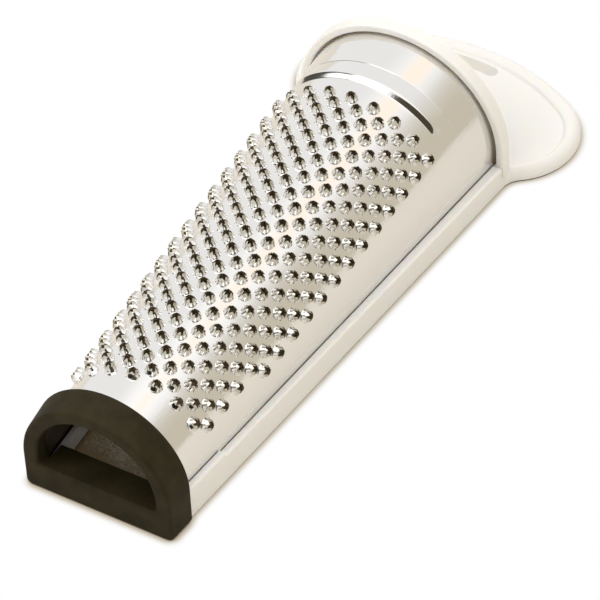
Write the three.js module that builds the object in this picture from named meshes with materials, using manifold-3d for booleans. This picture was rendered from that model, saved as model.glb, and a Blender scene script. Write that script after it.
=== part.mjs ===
// Hand-held nutmeg grater: a half-round steel blade with punched burr teeth, held by a
// one-piece plastic frame (two rails, a collar arch and a paddle handle) and a rubber foot.
//
// Millimetres, +Z up. The grater lies on its rails. X runs across it, and Y along it, from
// the foot to the handle. A station is a distance along Y from the front face of the foot.
// The group's origin is on the table, under the middle of the grater.

import * as THREE from 'three';
import { mergeVertices } from 'three/addons/utils/BufferGeometryUtils.js';
import Module from 'manifold-3d';

const wasm = await Module();
wasm.setup();

// Driving dimensions of the whole grater
const collarStation = 117.7;
const handleLength = 35.5;
const fitGap = 0.3;

// Blade: a tapered half tube of sheet steel
const sheetThickness = 0.5;
const bladeRadiusAtFoot = 14.4;
const bladeRadiusAtCollar = 22.0;
const bladeAxisHeightAtFoot = 8.5;
const bladeAxisHeightAtCollar = 8.7;

// Burr teeth, punched in staggered columns on the flat sheet before it is rolled. The last
// teeth are in line at the collar end, and the two outer columns stop short of the foot.
const toothPitch = 5.2;
const columnSpacing = 2.57;
const columnsEachSide = 8;
const plainAtCollar = 19.2;
const plainAtFoot = 15;
const plainAtFootOuter = 35;
const toothHeight = 1.5;
const toothNotchHeight = 0.95;
const toothBaseRadius = 1.6;
const toothTipRadius = 0.7;
const toothNotchRadius = 1.05;
const toothPunchRadius = 1.15;

// Stiffening bead, pressed across the blade between the teeth and the collar
const beadHeight = 0.7;
const beadWidth = 2.8;
const beadFlankWidth = 0.8;
const beadClearOfTeeth = 2.1;
const beadHalfAngle = 56;
const beadFadeAngle = 10;

// Rails: each a U-shaped groove that takes the lower edge of the blade
const railGapAtFoot = 0.3;
const railGapAtCollar = 0.35;
const railWallAtFoot = 1.25;
const railWallAtCollar = 1.95;
const railHeightAtFoot = 7.0;
const railHeightAtCollar = 5.7;
const railFloor = 1.2;
const railInnerWall = 1.0;
const railInnerWallHeight = 4.0;
const railTopRound = 1.1;
const railTabLength = 12.5;
const railTabRise = 0.7;
const tieBarHeight = 3.0;

// Collar: the arch that goes over the upper end of the blade
const collarGap = 0.55;
const collarDrop = 0.2;
const collarWall = 1.7;
const collarDepth = 3.2;
const collarStopDepth = 1.0;
const collarStopReach = 2.2;
const collarEdgeRound = 0.35;
const reliefWidth = 0.5;
const reliefDepth = 2.5;

// Handle: a flat paddle with a rounded rim and a shallow panel, hollow underneath
const handleThickness = 3.6;
const handleCornerRadius = 14.4;
const handleCornerAcross = 37.8;
const handleEndRadius = 50.7;
const handleNeckRadius = 5;
const handleRimRound = 2.6;
const panelInset = 3.8;
const panelInsetAtEnd = 4.3;
const panelDepth = 0.4;
const handleWeb = 1.6;
const handleRimWidth = 2.8;
const hangSlotLength = 15;
const hangSlotWidth = 2.7;
const hangSlotFromEnd = 5.3;
const hangSlotWall = 1.2;

// Foot: a rubber D-ring over the front ends of the blade and the frame, wider at its rear
const footDepth = 6.9;
const footSideWall = 0.46;
const footCrestWall = 2.4;
const footTaperAcross = 0.5;
const footTaperUp = 1.1;
const footLipCover = 1.1;
const footOpeningLift = 0.5;
const footSill = 6.3;
const footLip = 3.0;
const footEdgeRound = 0.7;
const footCornerRound = 1.2;

// Fineness of the curved faces
const footArchSteps = 20;
const collarArchSteps = 26;
const handleArcSteps = 10;
const roundSteps = 3;
const edgeRoundSteps = 2;

// Places worked out from the dimensions above
const stationSlope = (low, high, station) => low + (high - low) * station / collarStation;
const bladeRadius = (station) => stationSlope(bladeRadiusAtFoot, bladeRadiusAtCollar, station);
const bladeAxisHeight = (station) =>
  stationSlope(bladeAxisHeightAtFoot, bladeAxisHeightAtCollar, station);
const railHeight = (station) => stationSlope(railHeightAtFoot, railHeightAtCollar, station);
const railWallFace = (station) =>
  bladeRadius(station) + stationSlope(railGapAtFoot, railGapAtCollar, station);
const railHalfWidth = (station) =>
  railWallFace(station) + stationSlope(railWallAtFoot, railWallAtCollar, station);
const grooveFace = (station) => bladeRadius(station) - sheetThickness - fitGap;

const overallLength = collarStation + handleLength;
const lastToothStation = collarStation - plainAtCollar;
const teethDownTo = (station) => Math.floor((lastToothStation - station) / toothPitch) + 1;
const collarInnerRadius = bladeRadiusAtCollar + collarGap;
const collarRear = collarStation + collarDepth;
const bladeStart = footLip + fitGap;
const stopFace = collarRear - collarStopDepth;
const bladeEnd = stopFace - fitGap;
const bladeLowerEdge = railFloor + fitGap;

// A rectangle square to the length of the grater, at a station
function rectangle(left, right, low, high, station) {
  return [[left, station, low], [right, station, low], [right, station, high], [left, station, high]];
}

// Turns a closed geometry into a solid that can be joined and cut
function solidOf(geometry) {
  const bare = geometry.clone();
  bare.deleteAttribute('normal');
  bare.deleteAttribute('uv');
  const merged = mergeVertices(bare, 1e-4);
  return new wasm.Manifold(new wasm.Mesh({
    numProp: 3,
    vertProperties: new Float32Array(merged.attributes.position.array),
    triVerts: new Uint32Array(merged.index.array),
  }));
}

// Turns a solid back into a geometry
function geometryOf(solid) {
  const mesh = solid.getMesh();
  const geometry = new THREE.BufferGeometry();
  geometry.setAttribute('position', new THREE.BufferAttribute(mesh.vertProperties, mesh.numProp));
  geometry.setIndex(new THREE.BufferAttribute(mesh.triVerts, 1));
  geometry.computeVertexNormals();
  return geometry;
}

// A box between two corners
function boxSolid(low, high) {
  const size = high.map((value, axis) => value - low[axis]);
  const geometry = new THREE.BoxGeometry(...size);
  geometry.translate(...low.map((value, axis) => value + size[axis] / 2));
  return solidOf(geometry);
}

// Extrudes a shape drawn on the table straight up, from one height to another
function upright(shape, low, high, options = {}) {
  const geometry = new THREE.ExtrudeGeometry(shape, {
    depth: high - low,
    bevelEnabled: false,
    ...options,
  });
  geometry.translate(0, 0, low);
  return solidOf(geometry);
}

// Extrudes a cross-section, drawn in X and Z, from one station to another
function alongBody(shape, from, to, round) {
  const geometry = new THREE.ExtrudeGeometry(shape, {
    depth: to - from - 2 * round,
    bevelEnabled: round > 0,
    bevelThickness: round,
    bevelSize: round,
    bevelOffset: -round,
    bevelSegments: edgeRoundSteps,
  });
  geometry.rotateX(Math.PI / 2);
  geometry.translate(0, to - round, 0);
  return solidOf(geometry);
}

// Joins a row of like outlines into one closed skin, with a flat cap at each end
function loft(outlines) {
  const count = outlines[0].length;
  const positions = outlines.flat(2);
  const faces = [];
  for (let row = 0; row + 1 < outlines.length; row += 1) {
    for (let k = 0; k < count; k += 1) {
      const next = (k + 1) % count;
      const a = row * count + k;
      const b = row * count + next;
      faces.push(a, b + count, b, a, a + count, b + count);
    }
  }
  const flat = outlines[0].map(([x, , z]) => new THREE.Vector2(x, z));
  const last = (outlines.length - 1) * count;
  for (const [a, b, c] of THREE.ShapeUtils.triangulateShape(flat, [])) {
    faces.push(a, b, c, last + a, last + c, last + b);
  }
  const geometry = new THREE.BufferGeometry();
  geometry.setAttribute('position', new THREE.Float32BufferAttribute(positions, 3));
  geometry.setIndex(faces);
  return geometry;
}

// Points of an arc round a centre, from one angle to another
function arc(x, y, radius, from, to, steps) {
  return Array.from({ length: steps + 1 }, (_, k) => {
    const angle = from + (to - from) * k / steps;
    return new THREE.Vector2(x + radius * Math.cos(angle), y + radius * Math.sin(angle));
  });
}

// A D-shaped outline: an arch on straight sides, with its two bottom corners rounded
function archOutline(halfWidth, centreHeight, bottom, cornerRound, steps) {
  const quarter = Math.PI / 2;
  const across = halfWidth - cornerRound;
  const up = bottom + cornerRound;
  return [
    ...arc(across, up, cornerRound, -quarter, 0, roundSteps),
    ...arc(0, centreHeight, halfWidth, 0, Math.PI, steps),
    ...arc(-across, up, cornerRound, Math.PI, Math.PI + quarter, roundSteps),
  ];
}

function archShape(...sizes) {
  return new THREE.Shape(archOutline(...sizes));
}

// Height of the pressed bead at a station and at an angle round the blade from its crest
function beadRise(station, angle) {
  const front = lastToothStation + toothPitch / 2 + beadClearOfTeeth;
  const rear = front + 2 * beadFlankWidth + beadWidth;
  const along = Math.min((station - front) / beadFlankWidth, (rear - station) / beadFlankWidth, 1);
  const spare = beadHalfAngle - Math.abs(THREE.MathUtils.radToDeg(angle));
  const round = Math.min(spare / beadFadeAngle, 1);
  return beadHeight * Math.max(along, 0) * Math.max(round, 0);
}

// A point of the rolled sheet. "across" is measured on the sheet from the crest of the
// blade, and "height" straight out of the sheet. Past a quarter turn the side runs down.
function onSheet(across, station, height) {
  const radius = bladeRadius(station);
  const centre = bladeAxisHeight(station);
  const side = Math.sign(across);
  const quarter = radius * Math.PI / 2;
  if (Math.abs(across) > quarter) {
    return [side * (radius + height), station, centre - (Math.abs(across) - quarter)];
  }
  const angle = across / radius;
  const reach = radius + height + beadRise(station, angle);
  return [reach * Math.sin(angle), station, centre + reach * Math.cos(angle)];
}

// The grating blade. The sheet is a net of diamond cells, one round each place of the
// staggered pattern. A cell holds a burr tooth or stays plain, and plain strips run round
// the pattern: down the sides, to the foot, and over the bead to the collar.
function bladeGeometry() {
  const lastRow = 2 - 2 * teethDownTo(plainAtFoot);
  const lastOuterRow = 2 - 2 * teethDownTo(plainAtFootOuter);
  const lowRow = lastRow - 1;
  const highRow = 1;
  const edgeColumn = columnsEachSide + 1;
  const sideStrips = 3;

  const bead = lastToothStation + toothPitch / 2 + beadClearOfTeeth;
  const stationsAbove = [
    bead,
    bead + beadFlankWidth,
    bead + beadFlankWidth + beadWidth,
    bead + 2 * beadFlankWidth + beadWidth,
    bladeEnd,
  ];
  const stationsBelow = [(bladeStart + lastToothStation + lowRow * toothPitch / 2) / 2, bladeStart];
  const stationOfRow = (row) => {
    if (row > highRow) {
      return stationsAbove[row - highRow - 1];
    }
    if (row < lowRow) {
      return stationsBelow[lowRow - row - 1];
    }
    return lastToothStation + row * toothPitch / 2;
  };
  const acrossOfColumn = (column, station) => {
    const inner = Math.min(Math.abs(column), edgeColumn) * columnSpacing;
    const quarter = bladeRadius(station) * Math.PI / 2;
    const edge = quarter + bladeAxisHeight(station) - bladeLowerEdge;
    const share = Math.max(Math.abs(column) - edgeColumn, 0) / sideStrips;
    return Math.sign(column) * (inner + share * (edge - inner));
  };

  const positions = [];
  const faces = [];
  const known = new Map();
  const addPoint = (across, station, height) => {
    positions.push(...onSheet(across, station, height));
    return positions.length / 3 - 1;
  };
  const netPoint = (column, row, height) => {
    const key = `${column} ${row} ${height}`;
    if (!known.has(key)) {
      const station = stationOfRow(row);
      known.set(key, addPoint(acrossOfColumn(column, station), station, height));
    }
    return known.get(key);
  };
  const fan = (corners, outside) => {
    for (let k = 1; k + 1 < corners.length; k += 1) {
      const [a, b, c] = [corners[0], corners[k], corners[k + 1]];
      faces.push(...(outside ? [a, b, c] : [a, c, b]));
    }
  };
  const bothSkins = (places) => {
    fan(places.map(([column, row]) => netPoint(column, row, 0)), true);
    fan(places.map(([column, row]) => netPoint(column, row, -sheetThickness)), false);
  };

  // A burr: four walls lean in from the sheet to a torn crown of four tips and four
  // notches, and the punched hole opens below it
  const burr = (column, row) => {
    const station = stationOfRow(row);
    const across = acrossOfColumn(column, station);
    const ring = (radius, height, turn) => [0, 1, 2, 3].map((k) => {
      const angle = (k + turn) * Math.PI / 2;
      return addPoint(across + radius * Math.cos(angle), station + radius * Math.sin(angle), height);
    });
    const notches = ring(toothNotchRadius, toothNotchHeight, 0);
    const tips = ring(toothTipRadius, toothHeight, 0.5);
    const skins = [
      { height: 0, rim: ring(toothBaseRadius, 0, 0), outside: true },
      { height: -sheetThickness, rim: ring(toothPunchRadius, -sheetThickness, 0), outside: false },
    ];
    const corners = [[1, 0], [0, 1], [-1, 0], [0, -1]];
    for (const { height, rim, outside } of skins) {
      const net = corners.map(([dc, dr]) => netPoint(column + dc, row + dr, height));
      for (let k = 0; k < 4; k += 1) {
        const next = (k + 1) % 4;
        fan([net[k], net[next], rim[next], rim[k]], outside);
        fan([rim[k], rim[next], tips[k]], outside);
        fan([rim[k], tips[k], notches[k]], outside);
        fan([rim[next], notches[next], tips[k]], outside);
      }
    }
  };
  const holdsTooth = (column, row) => {
    const last = Math.abs(column) === columnsEachSide ? lastOuterRow : lastRow;
    return Math.abs(column) <= columnsEachSide && row <= 0 && row >= last;
  };

  // The patterned middle
  for (let column = -edgeColumn; column <= edgeColumn; column += 1) {
    for (let row = lowRow; row <= highRow; row += 1) {
      if ((column + row) % 2 !== 0) {
        continue;
      }
      if (holdsTooth(column, row)) {
        burr(column, row);
        continue;
      }
      const round = [[column + 1, row], [column, row + 1], [column - 1, row], [column, row - 1]];
      const inside = round.filter(([c, r]) => Math.abs(c) <= edgeColumn && r >= lowRow && r <= highRow);
      if (inside.length === 2) {
        inside.push([column, row]);
        const [[ax, ay], [bx, by], [cx, cy]] = inside;
        const turn = (bx - ax) * (cy - ay) - (by - ay) * (cx - ax);
        bothSkins(turn > 0 ? inside : [inside[1], inside[0], inside[2]]);
      } else {
        bothSkins(inside);
      }
    }
  }

  // The plain strips round it
  const spread = (from, to, step) => {
    const list = [];
    for (let value = from; value <= to; value += step) {
      list.push(value);
    }
    return list;
  };
  const outerColumn = edgeColumn + sideStrips;
  const columns = [
    ...spread(-outerColumn, -edgeColumn, 1),
    ...spread(-columnsEachSide, columnsEachSide, 2),
    ...spread(edgeColumn, outerColumn, 1),
  ];
  const rows = [
    ...spread(lowRow - stationsBelow.length, lowRow, 1),
    ...spread(lastRow, 0, 2),
    ...spread(highRow, highRow + stationsAbove.length, 1),
  ];
  for (let i = 0; i + 1 < columns.length; i += 1) {
    for (let j = 0; j + 1 < rows.length; j += 1) {
      const [left, right, low, high] = [columns[i], columns[i + 1], rows[j], rows[j + 1]];
      const patterned = left >= -edgeColumn && right <= edgeColumn && low >= lowRow && high <= highRow;
      if (!patterned) {
        bothSkins([[left, low], [right, low], [right, high], [left, high]]);
      }
    }
  }

  // The cut edge of the sheet, all the way round
  const first = rows[0];
  const final = rows[rows.length - 1];
  const border = [
    ...columns.map((column) => [column, first]),
    ...rows.slice(1).map((row) => [outerColumn, row]),
    ...columns.slice(0, -1).reverse().map((column) => [column, final]),
    ...rows.slice(1, -1).reverse().map((row) => [-outerColumn, row]),
  ];
  border.forEach((place, k) => {
    const after = border[(k + 1) % border.length];
    const [a, b] = [netPoint(...place, 0), netPoint(...after, 0)];
    const [c, d] = [netPoint(...after, -sheetThickness), netPoint(...place, -sheetThickness)];
    faces.push(a, c, b, a, d, c);
  });

  const geometry = new THREE.BufferGeometry();
  geometry.setAttribute('position', new THREE.Float32BufferAttribute(positions, 3));
  geometry.setIndex(faces);
  geometry.computeVertexNormals();
  return geometry;
}

// Outline of one rail at a station: outer wall, groove for the blade, low inner wall
function railOutline(station, side, rise) {
  const outer = railHalfWidth(station);
  const top = railHeight(station) + rise;
  const wallFace = railWallFace(station);
  const seat = grooveFace(station);
  const inner = seat - railInnerWall;
  const rounded = [];
  for (let k = 0; k <= roundSteps; k += 1) {
    const angle = k / roundSteps * Math.PI / 2;
    rounded.push([
      outer - railTopRound * (1 - Math.cos(angle)),
      top - railTopRound * (1 - Math.sin(angle)),
    ]);
  }
  const section = [
    [inner, 0],
    [outer, 0],
    ...rounded,
    [wallFace, top],
    [wallFace, railFloor],
    [seat, railFloor],
    [seat, railInnerWallHeight],
    [inner, railInnerWallHeight],
  ];
  const placed = section.map(([x, z]) => [side * x, station, z]);
  return side > 0 ? placed : placed.reverse();
}

function railSolid(side, from, to, rise) {
  return solidOf(loft([railOutline(from, side, rise), railOutline(to, side, rise)]));
}

// Places of the wide arc at the end of the handle and of the corner arcs beside it, drawn
// smaller by two insets. They touch at the angle "tilt".
function endArcs(endInset, cornerInset) {
  const cornerX = handleCornerAcross / 2;
  const endCentre = overallLength - handleEndRadius;
  const endRadius = handleEndRadius - endInset;
  const cornerRadius = handleCornerRadius - cornerInset;
  const rise = Math.sqrt((endRadius - cornerRadius) ** 2 - cornerX ** 2);
  return {
    cornerX,
    endCentre,
    endRadius,
    cornerRadius,
    cornerY: endCentre + rise,
    tilt: Math.atan2(rise, cornerX),
  };
}

// Places of the neck arcs, which touch the corner arcs at the angle "meet"
function neckArcs() {
  const { cornerX, cornerY } = endArcs(0, 0);
  const neckSide = railHalfWidth(collarStation);
  const neckX = neckSide + handleNeckRadius;
  const reach = handleCornerRadius + handleNeckRadius;
  const drop = Math.sqrt(Math.max(reach ** 2 - (neckX - cornerX) ** 2, 0));
  return { neckSide, neckX, neckY: cornerY - drop, meet: Math.atan2(-drop, neckX - cornerX) };
}

// Outline of the handle on the table: one wide arc at its end, between two corner arcs,
// and a neck arc on each side that leads into the rail
function handleShape() {
  const { cornerX, cornerY, cornerRadius: corner, endCentre, endRadius, tilt } = endArcs(0, 0);
  const { neckSide, neckX, neckY, meet } = neckArcs();
  const start = neckY - handleNeckRadius;
  const neck = handleNeckRadius;
  const steps = handleArcSteps;
  return new THREE.Shape([
    new THREE.Vector2(-neckSide, start),
    new THREE.Vector2(neckSide, start),
    ...arc(neckX, neckY, neck, Math.PI, Math.PI + meet, roundSteps),
    ...arc(cornerX, cornerY, corner, meet, tilt, steps).slice(1),
    ...arc(0, endCentre, endRadius, tilt, Math.PI - tilt, steps).slice(1, -1),
    ...arc(-cornerX, cornerY, corner, Math.PI - tilt, Math.PI - meet, steps),
    ...arc(-neckX, neckY, neck, -meet, 0, roundSteps).slice(1),
  ]);
}

// Outline of the panel on the handle, and of the hollow under it: the corner and end arcs
// drawn smaller, and closed by a straight front edge
function panelShape(endInset, cornerInset) {
  const arcs = endArcs(endInset, cornerInset);
  const { cornerX, cornerY, cornerRadius: corner, endCentre, endRadius, tilt } = arcs;
  const front = -Math.PI / 2;
  const steps = handleArcSteps;
  return new THREE.Shape([
    ...arc(cornerX, cornerY, corner, front, tilt, steps),
    ...arc(0, endCentre, endRadius, tilt, Math.PI - tilt, steps).slice(1, -1),
    ...arc(-cornerX, cornerY, corner, Math.PI - tilt, Math.PI - front, steps),
  ]);
}

// The hanging slot: a slot with round ends that follows the end of the handle
function hangSlotShape(grow) {
  const { endCentre } = endArcs(0, 0);
  const middle = handleEndRadius - hangSlotFromEnd - hangSlotWidth / 2;
  const half = hangSlotWidth / 2 + grow;
  const swing = (hangSlotLength - hangSlotWidth) / 2 / middle;
  const up = Math.PI / 2;
  const place = (turn) => [
    middle * Math.cos(up + turn),
    endCentre + middle * Math.sin(up + turn),
  ];
  const steps = handleArcSteps / 2;
  return new THREE.Shape([
    ...arc(0, endCentre, middle + half, up - swing, up + swing, steps),
    ...arc(...place(swing), half, up + swing, up + swing + Math.PI, steps).slice(1, -1),
    ...arc(0, endCentre, middle - half, up + swing, up - swing, steps),
    ...arc(...place(-swing), half, up - swing - Math.PI, up - swing, steps).slice(1, -1),
  ]);
}

// The frame, moulded in one piece: rails, tie bar, collar and handle
function frameGeometry() {
  const tenonStart = footLip;
  const handleTop = handleThickness;

  const handleBlank = upright(handleShape(), -handleRimRound, handleTop - handleRimRound, {
    bevelEnabled: true,
    bevelThickness: handleRimRound,
    bevelSize: handleRimRound,
    bevelOffset: -handleRimRound,
    bevelSegments: roundSteps,
  });
  const far = 2 * overallLength;
  const underTable = boxSolid([-far, -far, -far], [far, far, 0]);
  const handle = handleBlank
    .subtract(underTable)
    .subtract(upright(panelShape(panelInsetAtEnd, panelInset), handleTop - panelDepth, far))
    .subtract(upright(
      panelShape(handleRimWidth, handleRimWidth), -far, handleTop - panelDepth - handleWeb))
    .add(upright(hangSlotShape(hangSlotWall), 0, handleTop - panelDepth))
    .subtract(upright(hangSlotShape(0), -far, far));

  const archCentre = bladeAxisHeight(collarStation) - collarDrop;
  const archAt = (radius, bottom) => archShape(radius, archCentre, bottom, 0, collarArchSteps);
  const legs = archAt(collarInnerRadius + collarWall, 0);
  legs.holes.push(archAt(collarInnerRadius, handleTop - collarEdgeRound));
  const collar = alongBody(legs, collarStation, collarRear, collarEdgeRound);
  const stopRing = archAt(collarInnerRadius + collarWall / 2, 0);
  stopRing.holes.push(archAt(collarInnerRadius - collarStopReach, handleTop));
  const stop = alongBody(stopRing, stopFace, collarRear - collarEdgeRound, 0);

  const grooves = [-1, 1].map((side) => solidOf(loft([tenonStart, stopFace].map((station) => {
    const faces = [grooveFace(station), railWallFace(station)];
    const [left, right] = faces.map((x) => side * x).sort((a, b) => a - b);
    return rectangle(left, right, railFloor, archCentre, station);
  }))));
  const trough = solidOf(loft([0, collarStation].map((station) => {
    const half = grooveFace(station) - railInnerWall;
    return rectangle(-half, half, -far, far, station);
  })));

  const tieTop = railFloor + tieBarHeight;
  const tieHalf = grooveFace(tenonStart) - railInnerWall / 2;
  const tie = boxSolid([-tieHalf, tenonStart, railFloor], [tieHalf, footDepth, tieTop]);

  let frame = handle.subtract(trough).add(collar);
  frame = grooves.reduce((rest, groove) => rest.subtract(groove), frame).add(stop);
  for (const side of [-1, 1]) {
    frame = frame
      .add(railSolid(side, tenonStart, collarStation + collarEdgeRound, 0))
      .add(railSolid(side, footDepth + fitGap, footDepth + railTabLength, railTabRise));
    const relief = [
      side * (railWallFace(collarStation) - fitGap),
      side * far,
    ].sort((a, b) => a - b);
    const reliefFloor = railHeight(collarStation) - reliefDepth;
    frame = frame.subtract(boxSolid(
      [relief[0], collarStation - reliefWidth, reliefFloor], [relief[1], collarStation, far]));
  }
  return geometryOf(frame.add(tie));
}

// A body along the grater whose D-shaped section changes from station to station
function taperedArch(sections) {
  const outlines = sections.map(({ station, halfWidth, centre, bottom, corner }) =>
    archOutline(halfWidth, centre, bottom, corner, footArchSteps).map(({ x, y }) => [x, station, y]));
  return solidOf(loft(outlines));
}

// The rubber foot: a D-ring that widens towards its rear, which takes the blade and the frame
function footGeometry() {
  const rearHalf = railHalfWidth(footDepth) + fitGap + footSideWall;
  const rearCrest = bladeAxisHeight(footDepth) + bladeRadius(footDepth) + fitGap + footCrestWall;
  const outerSection = (station, inset) => {
    const forward = 1 - station / footDepth;
    const halfWidth = rearHalf - footTaperAcross * forward - inset;
    const centre = rearCrest - footTaperUp * forward - inset - halfWidth;
    return { station, halfWidth, centre, bottom: inset, corner: footCornerRound - inset };
  };
  const openingSection = (station, outset) => ({
    station,
    halfWidth: bladeRadiusAtFoot - footLipCover + outset,
    centre: bladeAxisHeightAtFoot + footOpeningLift,
    bottom: footSill - outset,
    corner: footCornerRound,
  });
  const turns = Array.from({ length: edgeRoundSteps + 1 }, (_, k) => k / edgeRoundSteps * Math.PI / 2);
  const frontEdge = turns.map((turn) => ({
    station: footEdgeRound * (1 - Math.cos(turn)),
    inset: footEdgeRound * (1 - Math.sin(turn)),
  }));
  const rearEdge = [...frontEdge].reverse().map(({ station, inset }) => ({
    station: footDepth - station,
    inset,
  }));
  const ring = taperedArch([...frontEdge, ...rearEdge].map(({ station, inset }) =>
    outerSection(station, inset)));
  const opening = taperedArch([
    openingSection(-footEdgeRound, footEdgeRound),
    ...frontEdge.map(({ station, inset }) => openingSection(station, inset)),
    openingSection(footDepth + footEdgeRound, 0),
  ]);

  // Seat of the blade's front end, behind the lip
  const seatRear = footDepth + fitGap;
  const seatShape = archShape(
    bladeRadius(seatRear) + fitGap, bladeAxisHeight(seatRear), footSill, 0, footArchSteps);
  const bladeSeat = alongBody(seatShape, footLip, seatRear, 0);

  // Pocket of the rails' front ends, and of the tie bar between them
  const pocket = solidOf(loft([footLip - fitGap, seatRear].map((station) => {
    const half = railHalfWidth(station) + fitGap;
    return rectangle(-half, half, -footDepth, railHeight(0) + fitGap, station);
  })));
  const tongueHalf = bladeRadius(footLip) - sheetThickness - railInnerWall - 2 * fitGap;
  const inLip = footLip / 2;
  const tieTop = railFloor + tieBarHeight;
  const tongue = boxSolid([-tongueHalf, inLip, tieTop + fitGap], [tongueHalf, footDepth, footSill]);
  const pad = boxSolid([-tongueHalf, inLip, 0], [tongueHalf, footDepth, railFloor - fitGap]);
  return geometryOf(
    ring.subtract(opening).subtract(bladeSeat).subtract(pocket).add(tongue).add(pad));
}

// Materials
const steel = new THREE.MeshStandardMaterial({ color: 0xd7d3ca, roughness: 0.16, metalness: 1 });
const ivoryPlastic = new THREE.MeshStandardMaterial({ color: 0xf0ece2, roughness: 0.34, metalness: 0 });
const blackRubber = new THREE.MeshStandardMaterial({ color: 0x2e2823, roughness: 0.78, metalness: 0 });

function piece(name, geometry, material) {
  const mesh = new THREE.Mesh(geometry, material);
  mesh.name = name;
  return mesh;
}

const grater = new THREE.Group();
grater.name = 'nutmeg_grater';
grater.add(piece('grating_blade', bladeGeometry(), steel));
grater.add(piece('frame', frameGeometry(), ivoryPlastic));
grater.add(piece('rubber_foot', footGeometry(), blackRubber));
grater.position.y = -overallLength / 2;

export default grater;
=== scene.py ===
"""Looks of a half-round hand grater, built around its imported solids.

Three pieces are made here, each in place of the solid with the same job: the grating blade
with its burr teeth, the frame with its rails, collar and handle, and the rubber foot. Their
sizes are in millimetres and become metres where a mesh is written, while finishes, lights and
the floor are given in metres. X runs across the grater and Y along it. A station is a distance
along the grater from the front face of the foot.
"""

from __future__ import annotations

import logging
import math
from collections.abc import Callable
from dataclasses import dataclass
from enum import Enum

import bpy
import numpy as np
from mathutils import Matrix, Vector

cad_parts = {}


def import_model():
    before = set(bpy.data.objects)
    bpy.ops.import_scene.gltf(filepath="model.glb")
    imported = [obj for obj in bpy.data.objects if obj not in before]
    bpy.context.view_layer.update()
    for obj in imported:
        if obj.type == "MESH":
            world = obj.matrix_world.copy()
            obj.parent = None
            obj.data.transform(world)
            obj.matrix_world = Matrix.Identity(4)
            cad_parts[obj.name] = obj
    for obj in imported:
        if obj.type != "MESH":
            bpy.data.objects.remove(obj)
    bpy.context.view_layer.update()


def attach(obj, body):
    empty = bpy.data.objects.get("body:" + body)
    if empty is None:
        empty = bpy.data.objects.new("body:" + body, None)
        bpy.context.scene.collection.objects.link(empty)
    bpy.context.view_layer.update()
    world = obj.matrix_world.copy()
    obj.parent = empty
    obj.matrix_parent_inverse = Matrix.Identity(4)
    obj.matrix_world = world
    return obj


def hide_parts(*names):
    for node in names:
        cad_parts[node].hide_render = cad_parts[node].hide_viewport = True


LOG = logging.getLogger("grater")
METRES = 0.001
QUARTER = math.pi / 2
WELDS_A_MM = 1000  # Points in the same thousandth of a millimetre become one
PAST = 1.0  # How far a body that cuts reaches past what it cuts
WHITE = (1.0, 1.0, 1.0, 1.0)

Pair = tuple[float, float]
Triple = tuple[float, float, float]
Colour = tuple[float, float, float, float]
Stops = tuple[tuple[float, Colour], ...]


class Cut(Enum):
    """Ways to combine two closed bodies."""

    JOIN = "UNION"
    TAKE = "DIFFERENCE"


@dataclass(frozen=True)
class Lines:
    """Sizes that two or more pieces share. A pair holds the values at the foot and collar."""

    collar_station: float = 117.7
    handle_length: float = 35.5
    fit_gap: float = 0.3
    sheet: float = 0.5
    radius_pair: Pair = (14.4, 22.0)
    axis_pair: Pair = (8.5, 8.7)
    rail_gap_pair: Pair = (0.12, 0.15)
    rail_wall_pair: Pair = (1.43, 2.15)
    rail_height_pair: Pair = (7.0, 5.7)
    rail_floor: float = 1.2
    rail_inner_wall: float = 1.0
    rail_inner_height: float = 4.0
    tie_height: float = 3.0
    collar_depth: float = 3.2
    stop_depth: float = 1.0
    foot_depth: float = 6.9
    foot_lip: float = 3.0
    handle_top: float = 3.6

    @property
    def length(self) -> float:
        """Length of the whole grater."""
        return self.collar_station + self.handle_length

    @property
    def stop_face(self) -> float:
        """Station of the face that the rear end of the blade meets."""
        return self.collar_station + self.collar_depth - self.stop_depth

    def at(self, pair: Pair, station: np.ndarray | float) -> np.ndarray | float:
        """Value of a size that changes evenly from the foot to the collar.

        Args:
            pair: The values at the foot and at the collar.
            station: Where it is wanted.

        Returns:
            The value there.
        """
        return pair[0] + (pair[1] - pair[0]) * station / self.collar_station

    def wall_face(self, station: float) -> float:
        """Inner face of the rail's outer wall."""
        return self.at(self.radius_pair, station) + self.at(self.rail_gap_pair, station)

    def half_width(self, station: float) -> float:
        """Outer face of the rail."""
        return self.wall_face(station) + self.at(self.rail_wall_pair, station)

    def seat(self, station: float) -> float:
        """Face of the rail's groove that lies inside the blade."""
        return self.at(self.radius_pair, station) - self.sheet - self.fit_gap


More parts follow.
